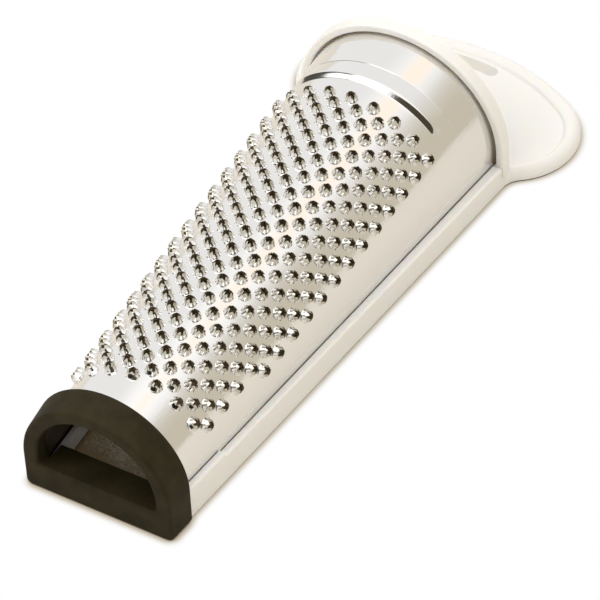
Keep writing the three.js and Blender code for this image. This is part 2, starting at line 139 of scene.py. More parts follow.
@dataclass
class Skin:
    """Points and faces of a mesh that is being built, in millimetres at stations."""

    points: np.ndarray
    corners: np.ndarray
    sizes: np.ndarray

    @staticmethod
    def of_rings(rings: np.ndarray) -> Skin:
        """Closes a row of like rings into a body with a flat cap at each end.

        Args:
            rings: Points of the rings, of shape (ring, point, 3).

        Returns:
            The closed skin, with its faces turned outward.
        """
        rows, count, _ = rings.shape
        index = np.arange(rows * count).reshape(rows, count)
        after = np.roll(index, -1, axis=1)
        quads = np.stack([index[:-1], after[:-1], after[1:], index[1:]], axis=-1).reshape(-1, 4)
        points = rings.reshape(-1, 3)
        corners = np.concatenate([quads.ravel(), index[0, ::-1], index[-1]])
        sizes = np.concatenate([np.full(len(quads), 4), [count, count]])
        fans = [np.stack([np.full(count - 2, cap[0]), cap[1:-1], cap[2:]], axis=-1)
                for cap in (index[0, ::-1], index[-1])]
        triangles = np.concatenate([quads[:, [0, 1, 2]], quads[:, [0, 2, 3]], *fans])
        first, second, third = (points[triangles[:, k]] - points.mean(axis=0) for k in range(3))
        volume = float(np.einsum("ij,ij->", np.cross(first, second), third))
        skin = Skin(points, corners, sizes)
        return skin if volume > 0 else skin.turned()

    def turned(self) -> Skin:
        """The same skin with its faces the other way round."""
        starts = np.cumsum(self.sizes) - self.sizes
        rank = np.arange(len(self.corners)) - np.repeat(starts, self.sizes)
        mirror = np.repeat(starts + self.sizes - 1, self.sizes) - rank
        return Skin(self.points, self.corners[mirror], self.sizes)

    def to_object(self, name: str, lines: Lines) -> bpy.types.Object:
        """Writes the skin as an object in the part's own frame.

        Args:
            name: Name of the object.
            lines: The shared sizes, for the length that centres the grater.

        Returns:
            The new object, linked to the scene.
        """
        placed = self.points - np.array([0.0, lines.length / 2, 0.0])
        mesh = bpy.data.meshes.new(name)
        mesh.vertices.add(len(placed))
        mesh.vertices.foreach_set("co", (placed * METRES).ravel())
        mesh.loops.add(len(self.corners))
        mesh.loops.foreach_set("vertex_index", self.corners.astype(np.int32))
        mesh.polygons.add(len(self.sizes))
        mesh.polygons.foreach_set("loop_start", (np.cumsum(self.sizes) - self.sizes).astype(np.int32))
        mesh.update(calc_edges=True)
        return linked(name, mesh)


def linked(name: str, data: bpy.types.ID) -> bpy.types.Object:
    """Makes an object and links it to the scene.

    Args:
        name: Name of the object.
        data: Its mesh, camera or light.

    Returns:
        The object.
    """
    made = bpy.data.objects.new(name, data)
    bpy.context.scene.collection.objects.link(made)
    return made


def stood(name: str, data: bpy.types.ID, place: Vector, axes: tuple[Vector, ...]) -> bpy.types.Object:
    """Makes an object that stands away from the origin.

    Args:
        name: Name of the object.
        data: Its camera or light.
        place: Where it stands, in metres.
        axes: The directions of its own X, Y and Z.

    Returns:
        The object.
    """
    made = linked(name, data)
    made.matrix_world = Matrix.Translation(place) @ Matrix(axes).transposed().to_4x4()
    return made


def body(name: str, rings: np.ndarray | list[np.ndarray], lines: Lines) -> bpy.types.Object:
    """A closed body through like rings, in the part's own frame."""
    return Skin.of_rings(np.stack(rings)).to_object(name, lines)


def arc(x: float, z: float, radius: float, start: float, end: float, steps: int) -> np.ndarray:
    """Points of an arc: (x + radius cos a, z + radius sin a) for a from start to end."""
    angle = np.linspace(start, end, steps + 1)
    return np.stack([x + radius * np.cos(angle), z + radius * np.sin(angle)], axis=-1)


def across(outline: np.ndarray, station: float | np.ndarray) -> np.ndarray:
    """Puts an outline drawn in X and Z at a station."""
    stations = np.broadcast_to(station, outline.shape[:-1])
    return np.stack([outline[..., 0], stations, outline[..., 1]], axis=-1)


def level(outline: np.ndarray, height: float) -> np.ndarray:
    """Puts an outline drawn in X and Y at a height."""
    return np.concatenate([outline, np.full((len(outline), 1), height)], axis=-1)


def rectangle(left: float, low: float, right: float, high: float) -> np.ndarray:
    """Corners of a rectangle drawn in X and Z."""
    return np.array([[left, low], [right, low], [right, high], [left, high]])


def box_rings(low: Triple, high: Triple) -> np.ndarray:
    """Two square rings that close into a box between two corners."""
    outline = rectangle(low[0], low[2], high[0], high[2])
    return np.stack([across(outline, low[1]), across(outline, high[1])])


def combine(base: bpy.types.Object, steps: list[tuple[Cut, bpy.types.Object]]) -> None:
    """Joins bodies to an object and takes bodies out of it, in order.

    Args:
        base: The object that keeps the result.
        steps: What to do with each of the other objects, which are deleted.
    """
    for cut, other in steps:
        modifier = base.modifiers.new(other.name, "BOOLEAN")
        modifier.operation = cut.value
        modifier.solver = "EXACT"
        modifier.object = other
    graph = bpy.context.evaluated_depsgraph_get()
    graph.update()
    result = bpy.data.meshes.new_from_object(base.evaluated_get(graph))
    base.modifiers.clear()
    base.data = result
    for _, other in steps:
        bpy.data.objects.remove(other)


def soften(piece: bpy.types.Object, degrees: float) -> None:
    """Shades an object smooth, apart from its sharp edges, and keeps its flat faces flat.

    Args:
        piece: The object.
        degrees: The angle from which an edge is sharp.
    """
    mesh = piece.data
    mesh.polygons.foreach_set("use_smooth", np.ones(len(mesh.polygons), dtype=bool))
    mesh.set_sharp_from_angle(angle=math.radians(degrees))
    weighted = piece.modifiers.new("even_normals", "WEIGHTED_NORMAL")
    weighted.keep_sharp = True
    weighted.mode = "FACE_AREA"


@dataclass(frozen=True)
class Relief:
    """A layer of unevenness: waves a metre along X, Y and Z, octaves, and height in metres."""

    scale: Triple
    octaves: float
    height: float


class Nodes:
    """A short hand for laying out the nodes of a material or a world."""

    def __init__(self, owner: bpy.types.Material | bpy.types.World) -> None:
        """Takes the nodes that a new material or world starts with."""
        owner.use_nodes = True
        self.owner = owner
        self.tree = owner.node_tree

    def first(self, kind: str) -> bpy.types.Node:
        """The first node of a kind in the tree."""
        return next(node for node in self.tree.nodes if node.type == kind)

    def put(self, node: bpy.types.Node, **settings: object) -> bpy.types.Node:
        """Puts values into the inputs and properties of a node.

        Args:
            node: The node.
            settings: Values by the identifier of an input, with spaces as underscores, or by
                the name of a property. A socket among them is linked.

        Returns:
            The same node.
        """
        inputs = {socket.identifier.replace(" ", "_"): socket for socket in node.inputs}
        for key, value in settings.items():
            if key not in inputs:
                setattr(node, key, value)
            elif isinstance(value, bpy.types.NodeSocket):
                self.tree.links.new(value, inputs[key])
            else:
                inputs[key].default_value = value
        return node

    def add(self, kind: str, **settings: object) -> bpy.types.Node:
        """Adds a shader node by the rest of its type's name, with settings as for put."""
        return self.put(self.tree.nodes.new("ShaderNode" + kind), **settings)

    def noise(self, scale: Triple, octaves: float) -> bpy.types.NodeSocket:
        """Lays noise on the object's own coordinates.

        Args:
            scale: Waves a metre along X, Y and Z.
            octaves: Octaves of the noise.

        Returns:
            The noise, from 0 to 1.
        """
        place = self.add("TexCoord").outputs["Object"]
        mapped = self.add("Mapping", Vector=place, Scale=scale).outputs["Vector"]
        return self.add("TexNoise", Vector=mapped, Scale=1.0, Detail=octaves).outputs["Fac"]

    def ramp(self, source: bpy.types.NodeSocket, stops: Stops) -> bpy.types.NodeSocket:
        """Colours a value.

        Args:
            source: The value, from 0 to 1.
            stops: Values and their colours, which blend evenly in between.

        Returns:
            The colour.
        """
        node = self.add("ValToRGB", Fac=source)
        elements = node.color_ramp.elements
        while len(elements) < len(stops):
            elements.new(stops[0][0])
        for element, (position, colour) in zip(elements, stops):
            element.position = position
            element.color = colour
        return node.outputs["Color"]

    def blend(self, share: bpy.types.NodeSocket, under: bpy.types.NodeSocket | Colour,
              over: Colour) -> bpy.types.NodeSocket:
        """Lays a colour over another, as far as its share goes."""
        node = self.add("Mix", data_type="RGBA", Factor_Float=share, A_Color=under, B_Color=over)
        return next(socket for socket in node.outputs if socket.type == "RGBA")

    def cover(self, share: bpy.types.NodeSocket, under: bpy.types.Node,
              over: bpy.types.Node) -> bpy.types.Node:
        """Lays a shader over another, as far as its share goes."""
        return self.add("MixShader", Fac=share, Shader=under.outputs[0], Shader_001=over.outputs[0])

    def finish(self, layers: tuple[Relief, ...], **settings: object) -> bpy.types.Material:
        """Completes a material.

        Args:
            layers: Its relief, coarse layers first. Each is a bump on the one before it.
            settings: Values for the shader's inputs, as for put.

        Returns:
            The material.
        """
        below = {}
        for layer in layers:
            height = self.noise(layer.scale, layer.octaves)
            bump = self.add("Bump", Strength=1.0, Distance=layer.height, Height=height, **below)
            below = {"Normal": bump.outputs["Normal"]}
        self.put(self.first("BSDF_PRINCIPLED"), **settings, **below)
        return self.owner


@dataclass(frozen=True)
class Steel:
    """Sheet steel: even, warm and slightly wavy, with fine rub marks. Polished unless set."""

    name: str = "polished_steel"
    colour: Colour = (0.83, 0.815, 0.785, 1.0)
    metallic: float = 1.0
    roughness: float = 0.13
    waves: Relief = Relief((70.0, 45.0, 70.0), 1.0, 0.00025)
    rubs: Relief = Relief((2600.0, 260.0, 2600.0), 3.0, 0.000012)

    def material(self) -> bpy.types.Material:
        """Builds the material."""
        nodes = Nodes(bpy.data.materials.new(self.name))
        return nodes.finish((self.waves, self.rubs), Base_Color=self.colour,
                            Metallic=self.metallic, Roughness=self.roughness)


POLISHED_STEEL = Steel()
# Dull steel is rougher, and its near-black brown colour is painted shade on the inside of the sheet and in
# the throats.
DULL_SHADED_STEEL = Steel("dull_steel", (0.16, 0.125, 0.08, 1.0), 1.0, 0.36)
# Torn steel is rougher and half metallic, and its dark brown colour is painted shade inside the burr
# openings, tinted like ground nutmeg.
TORN_SHADED_STEEL = Steel("torn_steel", (0.3, 0.23, 0.135, 1.0), 0.5, 0.45)
# Drawn steel is the polished steel painted darker and warmer on the outer rims of the petals: painted
# shade.
DRAWN_SHADED_STEEL = Steel("drawn_steel", (0.6, 0.57, 0.49, 1.0), 1.0, 0.14)
STEELS = (POLISHED_STEEL, DULL_SHADED_STEEL, TORN_SHADED_STEEL, DRAWN_SHADED_STEEL)


@dataclass(frozen=True)
class WhitePlastic:
    """Warm white moulded plastic, satin to gloss, that light enters a little."""

    colour: Colour = (0.9, 0.875, 0.825, 1.0)
    roughness: float = 0.3
    ior: float = 1.49
    share_below: float = 0.5
    spread: Triple = (1.0, 0.75, 0.45)
    depth: float = 0.0012
    sinks: Relief = Relief((60.0, 60.0, 60.0), 1.0, 0.00008)
    grain: Relief = Relief((2400.0, 2400.0, 2400.0), 2.0, 0.000006)

    def material(self) -> bpy.types.Material:
        """Builds the material."""
        nodes = Nodes(bpy.data.materials.new("white_plastic"))
        return nodes.finish((self.sinks, self.grain), Base_Color=self.colour,
                            Roughness=self.roughness, IOR=self.ior,
                            Subsurface_Weight=self.share_below, Subsurface_Radius=self.spread,
                            Subsurface_Scale=self.depth)


@dataclass(frozen=True)
class BlackRubber:
    """Matte, warm black moulded rubber with slightly paler patches."""

    patches: Stops = ((0.3, (0.02, 0.015, 0.005, 1.0)), (0.7, (0.034, 0.026, 0.01, 1.0)))
    patch_scale: Triple = (260.0, 260.0, 260.0)
    patch_octaves: float = 4.0
    roughness: float = 0.66
    specular: float = 0.14
    grain: Relief = Relief((3200.0, 3200.0, 3200.0), 3.0, 0.00003)

    def material(self) -> bpy.types.Material:
        """Builds the material."""
        nodes = Nodes(bpy.data.materials.new("black_rubber"))
        patches = nodes.ramp(nodes.noise(self.patch_scale, self.patch_octaves), self.patches)
        return nodes.finish((self.grain,), Base_Color=patches, Roughness=self.roughness,
                            Specular_IOR_Level=self.specular)


@dataclass
class Blade:
    """The grating blade: a rolled sheet with rows of punched burrs and a pressed bead.

    The rings of a tooth's wall, and its throat, are each a radius and a height out of the
    sheet. Its corners stand at the turns, in degrees. Those with a 1 in tips rise to the tip of
    a petal, and the others stop at the cusp between two petals. There are five petals, and two
    of them have a double tip. The ranges vary each tooth: its turn in radians, the share of the
    full height that it has, and the radius of each corner.
    """

    lines: Lines
    pitch: float = 5.2
    column_spacing: float = 2.57
    columns_each_side: int = 8
    plain_at_collar: float = 19.2
    plain_at_foot: float = 15.0
    plain_at_foot_outer: float = 35.0
    edge_steps: int = 3
    side_steps: int = 12
    foot_steps: int = 6
    rear_steps: tuple[int, ...] = (3, 15, 6, 4, 8)
    wall_profile: tuple[Pair, ...] = ((1.5, 0.0), (1.26, 0.25), (1.12, 0.85))
    throat: Pair = (1.08, -0.5)
    turns: tuple[int, ...] = (6, 42, 72, 84, 114, 150, 186, 216, 228, 258, 294, 330)
    tips: tuple[int, ...] = (1, 0, 1, 1, 0, 1, 0, 1, 1, 0, 1, 0)
    cusp_radius: float = 1.02
    tip_radius: float = 0.6
    cusp_height: float = 1.1
    tip_height: float = 1.5
    turn_range: Pair = (-0.2, 0.2)
    tall_range: Pair = (0.94, 1.0)
    ragged_range: Pair = (-0.1, 0.08)
    crease_depth: float = 0.045
    crease_half: float = 0.12
    crease_half_angle: float = 64.0
    crease_fade: float = 0.25
    bead_height: float = 0.85
    bead_flank: float = 1.1
    crest_share: float = 1.5
    bead_fall: float = 4.6
    bead_soft: float = 0.1
    bead_clear: float = 2.1
    bead_half_angle: float = 55.0
    bead_fade: float = 13.0
    sharp_from: float = 42.0
    seed: int = 11

    @property
    def last_tooth(self) -> float:
        """Station of the row of teeth nearest to the collar."""
        return self.lines.collar_station - self.plain_at_collar

    @property
    def bead_start(self) -> float:
        """Station of the front edge of the bead."""
        return self.last_tooth + self.pitch / 2 + self.bead_clear

    @property
    def bead_end(self) -> float:
        """Station of the crease behind the bead."""
        return self.bead_start + self.bead_flank + self.bead_fall

    @property
    def edge_column(self) -> int:
        """Column of the net's side edges, one past the outermost teeth."""
        return self.columns_each_side + 1

    @property
    def first_row(self) -> int:
        """Row of the net's edge at the foot, one before the first teeth."""
        return self.rows_down_to(self.plain_at_foot) - 1

    def rows_down_to(self, station: float) -> int:
        """Row, in half pitches, of the first tooth past a station. The last tooth's row is 0."""
        return -2 * int((self.last_tooth - station) // self.pitch)

    def place(self, across_sheet: np.ndarray, station: np.ndarray, height: np.ndarray) -> np.ndarray:
        """Rolls points of the flat sheet into the blade.

        A point at distance s from the crest and height h goes to angle a = s / R(station), at
        reach R + h + bead, and past a quarter turn it runs straight down. The bead rises on one
        steep flank, falls gently to a faint crease, and fades at its two ends.

        Args:
            across_sheet: Distance from the crest, measured on the sheet.
            station: Station of each point.
            height: Height out of the sheet.

        Returns:
            Points in the grater, of the same shape with 3 at the end.
        """
        radius = self.lines.at(self.lines.radius_pair, station)
        centre = self.lines.at(self.lines.axis_pair, station)
        angle = np.clip(across_sheet / radius, -QUARTER, QUARTER)
        below = np.abs(across_sheet) - radius * np.abs(angle)
        up = (station - self.bead_start) / self.bead_flank
        back = (self.bead_end - station) / self.bead_fall
        blend = np.clip((up + back - np.sqrt((up - back) ** 2 + self.bead_soft)) / 2, 0, None)
        spare = np.clip((math.radians(self.bead_half_angle) - np.abs(angle))
                        / math.radians(self.bead_fade), 0, 1)
        bead = self.bead_height * blend * spare * spare * (3 - 2 * spare)
        crease = np.clip(1 - np.abs(station - self.bead_end) / self.crease_half, 0, 1)
        crease *= np.clip((math.radians(self.crease_half_angle) - np.abs(angle))
                          / self.crease_fade, 0, 1)
        reach = radius + height + bead - self.crease_depth * crease
        return np.stack([reach * np.sin(angle), station,
                         centre + reach * np.cos(angle) - below], axis=-1)

    def across_of(self, column: np.ndarray, station: np.ndarray) -> np.ndarray:
        """Distance from the crest of a column, measured on the sheet.

        Columns are evenly spaced as far as the net goes. One column further is the sheet's
        lower edge, and shares of that column lie evenly in between.

        Args:
            column: The column, with a sign for the side.
            station: Station of each point.

        Returns:
            The distances, with the same signs.
        """
        inner = np.minimum(np.abs(column), self.edge_column) * self.column_spacing
        quarter = self.lines.at(self.lines.radius_pair, station) * QUARTER
        drop = self.lines.at(self.lines.axis_pair, station) - self.lines.rail_floor
        edge = quarter + drop - self.lines.fit_gap
        share = np.clip(np.abs(column) - self.edge_column, 0, 1)
        return np.sign(column) * (inner + share * (edge - inner))

    def cells(self) -> tuple[np.ndarray, np.ndarray]:
        """Places of the staggered net, which ends one column and one row past the teeth.

        Returns:
            Column and row of every cell with a tooth, and of every plain one.
        """
        edge = self.edge_column
        column, row = np.meshgrid(np.arange(-edge, edge + 1), np.arange(self.first_row, 2),
                                  indexing="ij")
        net = np.stack([column, row], axis=-1)[(column + row) % 2 == 0]
        outer = np.abs(net[:, 0]) == self.columns_each_side
        last = np.where(outer, self.rows_down_to(self.plain_at_foot_outer),
                        self.rows_down_to(self.plain_at_foot))
        tooth = (np.abs(net[:, 0]) <= self.columns_each_side) & (net[:, 1] <= 0) & (net[:, 1] >= last)
        return net[tooth], net[~tooth]

    def rim_of_cell(self) -> np.ndarray:
        """Goes round a diamond cell, from its right corner, with evenly divided sides.

        Returns:
            The points, in units of one column and one row.
        """
        corner = np.array([[1, 0], [0, 1], [-1, 0], [0, -1]], dtype=float)
        share = np.arange(self.edge_steps)[:, None] / self.edge_steps
        sides = corner[:, None] * (1 - share) + np.roll(corner, -1, axis=0)[:, None] * share
        return sides.reshape(-1, 2)

    def teeth(self, cells: np.ndarray) -> tuple[np.ndarray, np.ndarray]:
        """Builds the burrs: walls that lean in to a torn star of petals, and the hole below.

        A corner at angle t on a ring of radius r lies at (r cos t, r sin t) from the middle of
        its cell, and the sheet is then rolled. The first and last rings are the cell's border.

        Args:
            cells: Column and row of each tooth.

        Returns:
            The points, tooth by tooth and ring by ring, and the quads between the rings.
        """
        rim = self.rim_of_cell()
        count = len(rim)
        draw = np.random.default_rng(self.seed)
        turn = draw.uniform(*self.turn_range, (len(cells), 1))
        tall = draw.uniform(*self.tall_range, (len(cells), 1))
        ragged = draw.uniform(*self.ragged_range, (len(cells), count))
        angle = np.radians(self.turns) + turn
        tip = np.array(self.tips)
        opening = self.cusp_radius + (self.tip_radius - self.cusp_radius) * tip + ragged
        crown = self.cusp_height + (self.tip_height - self.cusp_height) * tip
        spacing = np.array([self.column_spacing, self.pitch / 2])
        centre = cells * spacing
        heading = np.stack([np.cos(angle), np.sin(angle)], axis=-1)
        every = np.ones((len(cells), count))
        diamond = rim * spacing * every[..., None]
        rings = [(diamond, 0 * every)]
        rings += [(heading * radius * every[..., None], height * tall * every)
                  for radius, height in self.wall_profile]
        throat_radius, throat_height = self.throat
        rings += [(heading * opening[..., None], crown * tall),
                  (heading * throat_radius * every[..., None], throat_height * every),
                  (diamond, -self.lines.sheet * every)]
        flat = np.stack([ring[0] for ring in rings], axis=1) + centre[:, None, None]
        height = np.stack([ring[1] for ring in rings], axis=1)
        station = self.last_tooth + flat[..., 1]
        points = self.place(flat[..., 0], station, height)
        index = np.arange(points[..., 0].size).reshape(points.shape[:3])
        after = np.roll(index, -1, axis=2)
        quads = np.stack([index[:, :-1], after[:, :-1], after[:, 1:], index[:, 1:]], axis=-1)
        return points.reshape(-1, 3), quads.transpose(1, 0, 2, 3).reshape(-1, 4)

    def plain_cells(self, cells: np.ndarray) -> tuple[np.ndarray, np.ndarray]:
        """Fills the cells with no tooth, and the cut cells on the border of the net.

        Each quarter of a cell is a triangle from its middle to two corners, divided evenly.

        Args:
            cells: Column and row of each plain cell.

        Returns:
            Points and triangles of the outer skin, in sheet coordinates (column, row).
        """
        steps = self.edge_steps
        corner = np.array([[1, 0], [0, 1], [-1, 0], [0, -1]])
        after = np.roll(corner, -1, axis=0)
        quarters = np.stack([np.zeros_like(corner), corner, after], axis=1)
        triangles = (cells[:, None, None] + quarters[None]).reshape(-1, 3, 2)
        inside = ((np.abs(triangles[..., 0]) <= self.edge_column)
                  & (triangles[..., 1] >= self.first_row)
                  & (triangles[..., 1] <= 1)).all(axis=1)
        triangles = triangles[inside].astype(float)
        i, j = np.meshgrid(np.arange(steps + 1), np.arange(steps + 1), indexing="ij")
        keep = i + j <= steps
        number = np.full((steps + 2, steps + 2), -1)
        number[:-1, :-1][keep] = np.arange(keep.sum())
        weights = np.stack([steps - i[keep] - j[keep], i[keep], j[keep]], axis=-1) / steps
        lower = np.stack([number[:-2, :-2], number[1:-1, :-2], number[:-2, 1:-1]], axis=-1)
        upper = np.stack([number[1:-1, :-2], number[1:-1, 1:-1], number[:-2, 1:-1]], axis=-1)
        both = np.concatenate([lower.reshape(-1, 3), upper.reshape(-1, 3)])
        both = both[(both >= 0).all(axis=1)]
        points = np.einsum("pw,twk->tpk", weights, triangles)
        offsets = np.arange(len(triangles))[:, None, None] * len(weights)
        return points.reshape(-1, 2), (both[None] + offsets).reshape(-1, 3)

    def grid(self) -> tuple[np.ndarray, np.ndarray, np.ndarray]:
        """Lays one grid over the whole sheet, with the net of cells in its middle.

        Past the net its columns run on to the lower edges. Its stations lie close together on
        the bead's steep flank and on the crease.

        Returns:
            Column and station of the grid's points, and which of its cells the net fills.
        """
        edge, steps = self.edge_column, self.edge_steps
        side = edge + np.arange(1, self.side_steps + 1) / self.side_steps
        columns = np.concatenate([-side[::-1], np.arange(-edge * steps, edge * steps + 1) / steps, side])
        net = self.last_tooth + np.arange(self.first_row * steps, steps + 1) / steps * self.pitch / 2
        front = np.linspace(self.lines.foot_lip + self.lines.fit_gap, net[0], self.foot_steps + 1)
        marks = [net[-1], self.bead_start, self.bead_start + self.crest_share * self.bead_flank,
                 self.bead_end - self.crease_half, self.bead_end + self.crease_half,
                 self.lines.stop_face - self.lines.fit_gap]
        rear = [np.linspace(start, end, count + 1)[1:]
                for start, end, count in zip(marks, marks[1:], self.rear_steps)]
        grid = np.meshgrid(columns, np.concatenate([front[:-1], net, *rear]), indexing="ij")
        column, station = ((line[:-1, :-1] + line[1:, 1:]) / 2 for line in grid)
        filled = (np.abs(column) < edge) & (station > net[0]) & (station < net[-1])
        return *grid, filled

    def build(self) -> bpy.types.Object:
        """Builds the blade as one closed sheet.

        The plain cells and the strips round the net lie on both faces of the sheet, the teeth
        join the two faces, and a rim closes the cut edge.

        Returns:
            The blade.
        """
        toothed, plain = self.cells()
        tooth_points, tooth_quads = self.teeth(toothed)
        cell_places, cell_faces = self.plain_cells(plain)
        column, station, filled = self.grid()
        index = np.arange(column.size).reshape(column.shape)
        strips = np.stack([index[:-1, :-1], index[1:, :-1], index[1:, 1:], index[:-1, 1:]],
                          axis=-1)[~filled]
        border = np.concatenate([index[:, 0], index[-1, 1:], index[-2::-1, -1], index[0, -2:0:-1]])
        after = np.roll(border, -1)
        rim = np.stack([border, border + index.size, after + index.size, after], axis=-1)

        # Both faces of the strips, and then of the plain cells
        flat = [(self.across_of(column, station).ravel(), station.ravel()),
                (cell_places[:, 0] * self.column_spacing,
                 self.last_tooth + cell_places[:, 1] * self.pitch / 2)]
        faces = [self.place(*places, np.full(len(places[0]), height))
                 for places in flat for height in (0.0, -self.lines.sheet)]
        cell_start = 2 * index.size
        inner_start = cell_start + len(cell_places)
        tooth_start = inner_start + len(cell_places)
        blade = self.welded(
            np.concatenate([*faces, tooth_points]),
            np.concatenate([strips, strips[:, ::-1] + index.size, rim, tooth_quads + tooth_start]),
            np.concatenate([cell_faces + cell_start, cell_faces[:, ::-1] + inner_start]))

        # A finish for each face: petals are drawn outside and torn inside, and below them
        # the throat and the inside of the sheet are dull. The drawn, torn and dull steels are painted
        # darker than the polished one: painted shade on the petal rims, inside the openings, in the throats
        # and on the inside of the sheet.
        polished, dull_shaded, torn, drawn = range(len(STEELS))
        bands = [polished] * len(self.wall_profile) + [drawn, torn, dull_shaded]
        finish = np.repeat(
            [polished, dull_shaded, polished, *bands, polished, dull_shaded],
            [len(strips), len(strips), len(rim), *[len(tooth_quads) // len(bands)] * len(bands),
             len(cell_faces), len(cell_faces)])
        blade.data.polygons.foreach_set("material_index", finish.astype(np.int32))
        return blade

    def welded(self, points: np.ndarray, quads: np.ndarray, triangles: np.ndarray) -> bpy.types.Object:
        """Joins the points that lie on each other and writes the mesh.

        Args:
            points: All points.
            quads: Faces with four corners.
            triangles: Faces with three corners.

        Returns:
            The blade.
        """
        rounded = np.round(points * WELDS_A_MM).astype(np.int64)
        _, first, joined = np.unique(rounded, axis=0, return_index=True, return_inverse=True)
        joined = joined.reshape(-1)
        corners = np.concatenate([joined[quads].ravel(), joined[triangles].ravel()])
        sizes = np.concatenate([np.full(len(quads), 4), np.full(len(triangles), 3)])
        used, corners = np.unique(corners, return_inverse=True)
        skin = Skin(points[first][used], corners.reshape(-1), sizes)
        blade = skin.to_object("blade", self.lines)
        soften(blade, self.sharp_from)
        return blade

    def dress(self, blade: bpy.types.Object) -> None:
        """Gives the blade its finishes and its place in the part.

        Args:
            blade: The blade.
        """
        for steel in STEELS:
            blade.data.materials.append(steel.material())
        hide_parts("grating_blade")
        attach(blade, "root")


@dataclass
class Frame:
    """The moulded frame: two rails, a tie bar, the collar arch and the paddle handle.

    The border of the panel is a list of insets and rises, first over the panel's floor and
    then over the handle's top.
    """

    lines: Lines
    top_round: float = 0.55
    edge_round: float = 0.3
    inner_round: float = 0.15
    tab_length: float = 12.5
    tab_rise: float = 0.7
    tab_slope: float = 0.25
    collar_gap: float = 0.55
    collar_drop: float = 0.2
    collar_wall: float = 1.7
    stop_reach: float = 2.2
    collar_soft: float = 0.4
    relief_width: float = 0.4
    relief_depth: float = 2.5
    corner_radius: float = 14.6
    corner_across: float = 35.8
    end_radius: float = 47.0
    neck_radius: float = 5.0
    rim_round: float = 2.6
    panel_inset: float = 2.6
    panel_inset_end: float = 4.1
    panel_depth: float = 0.4
    border_low: tuple[Pair, ...] = (
        (0.8, 0.0), (0.55, -0.06), (0.35, -0.12), (0.15, -0.1), (0.0, 0.02), (-0.15, 0.2),
    )
    border_high: tuple[Pair, ...] = ((-0.35, -0.1), (-0.65, -0.02), (-0.9, 0.01))
    web: float = 1.6
    rim_width: float = 2.8
    slot_length: float = 15.0
    slot_width: float = 2.7
    slot_from_end: float = 5.3
    slot_draft: float = 0.9
    slot_wall: float = 1.2
    slot_soft: float = 0.1
    neck_sink: float = 1.0
    arc_steps: int = 26
    neck_steps: int = 12
    rim_steps: int = 12
    slot_steps: int = 8
    slot_end_steps: int = 12
    collar_steps: int = 72
    collar_edge_steps: int = 5
    rail_edge_steps: int = 3
    rail_top_steps: int = 10
    rail_inner_steps: int = 4
    sharp_from: float = 32.0
    far: float = 45.0
    overlap: float = 0.03

    def rail_section(self, station: float, side: int, rise: float) -> np.ndarray:
        """Section of a rail before its groove is cut: a tall outer part and a low inner part.

        Args:
            station: Where the section is taken.
            side: 1 for the right rail and -1 for the left one.
            rise: Extra height of the outer part.

        Returns:
            The section's points at that station.
        """
        lines = self.lines
        outer = lines.half_width(station)
        top = lines.at(lines.rail_height_pair, station) + rise
        face = lines.wall_face(station)
        inner = lines.seat(station) - lines.rail_inner_wall
        soft = self.inner_round
        section = np.concatenate([
            [[inner, 0.0]],
            arc(outer - self.edge_round, self.edge_round, self.edge_round, -QUARTER, 0,
                self.rail_edge_steps),
            arc(outer - self.top_round, top - self.top_round, self.top_round, 0, QUARTER,
                self.rail_top_steps),
            arc(face + soft, top - soft, soft, QUARTER, 2 * QUARTER, self.rail_inner_steps),
            [[face, lines.rail_inner_height], [inner, lines.rail_inner_height]],
        ])
        return across(section * [side, 1], station)

    def rail(self, side: int) -> bpy.types.Object:
        """Builds one rail, with the raised tab behind the foot.

        Args:
            side: 1 for the right rail and -1 for the left one.

        Returns:
            The rail.
        """
        lines = self.lines
        tab_start = lines.foot_depth + lines.fit_gap
        tab_end = lines.foot_depth + self.tab_length
        places = [(lines.foot_lip, 0.0), (tab_start, 0.0), (tab_start + self.tab_slope, self.tab_rise),
                  (tab_end - self.tab_slope, self.tab_rise), (tab_end, 0.0),
                  (lines.collar_station + self.collar_soft, 0.0)]
        return body("rail", [self.rail_section(station, side, rise) for station, rise in places], lines)

    def arch(self, inner: float, outer: float, start: float, end: float, low: float,
             edge: float) -> bpy.types.Object:
        """Builds an arch on two straight legs, swept with a rounded square section.

        A point of the section at reach r goes to (r cos a, centre + r sin a) for a from 0 to a
        half turn. The first and last rings stand straight below, at the ends of the legs.

        Args:
            inner: Inner radius.
            outer: Outer radius.
            start: Station of its front face.
            end: Station of its rear face.
            low: Height of the ends of the legs.
            edge: Radius of the rounded edges.

        Returns:
            The arch.
        """
        centre = self.lines.axis_pair[1] - self.collar_drop
        turn = [(outer - edge, end - edge, 0), (inner + edge, end - edge, 1),
                (inner + edge, start + edge, 2), (outer - edge, start + edge, 3)]
        section = np.concatenate([
            arc(r, y, edge, k * QUARTER, (k + 1) * QUARTER, self.collar_edge_steps)
            for r, y, k in turn])
        angle = np.concatenate([[0.0], np.linspace(0, math.pi, self.collar_steps + 1), [math.pi]])
        height = np.full(len(angle), centre)
        height[[0, -1]] = low
        reach = section[None, :, 0]
        rings = np.stack([
            reach * np.cos(angle)[:, None],
            np.broadcast_to(section[None, :, 1], (len(angle), len(section))),
            height[:, None] + reach * np.sin(angle)[:, None],
        ], axis=-1)
        return body("arch", rings, self.lines)

    def end_arcs(self, end_inset: float, corner_inset: float) -> tuple[float, ...]:
        """Places of the end arc and the corner arcs, which touch each other.

        Args:
            end_inset: How much smaller the end arc is drawn.
            corner_inset: How much smaller the corner arcs are drawn.

        Returns:
            Corner centre across and along, end centre along, both radii, and the angle at
            which the arcs touch.
        """
        x = self.corner_across / 2
        end_centre = self.lines.length - self.end_radius
        end = self.end_radius - end_inset
        corner = self.corner_radius - corner_inset
        rise = math.sqrt((end - corner) ** 2 - x ** 2)
        return x, end_centre + rise, end_centre, end, corner, math.atan2(rise, x)

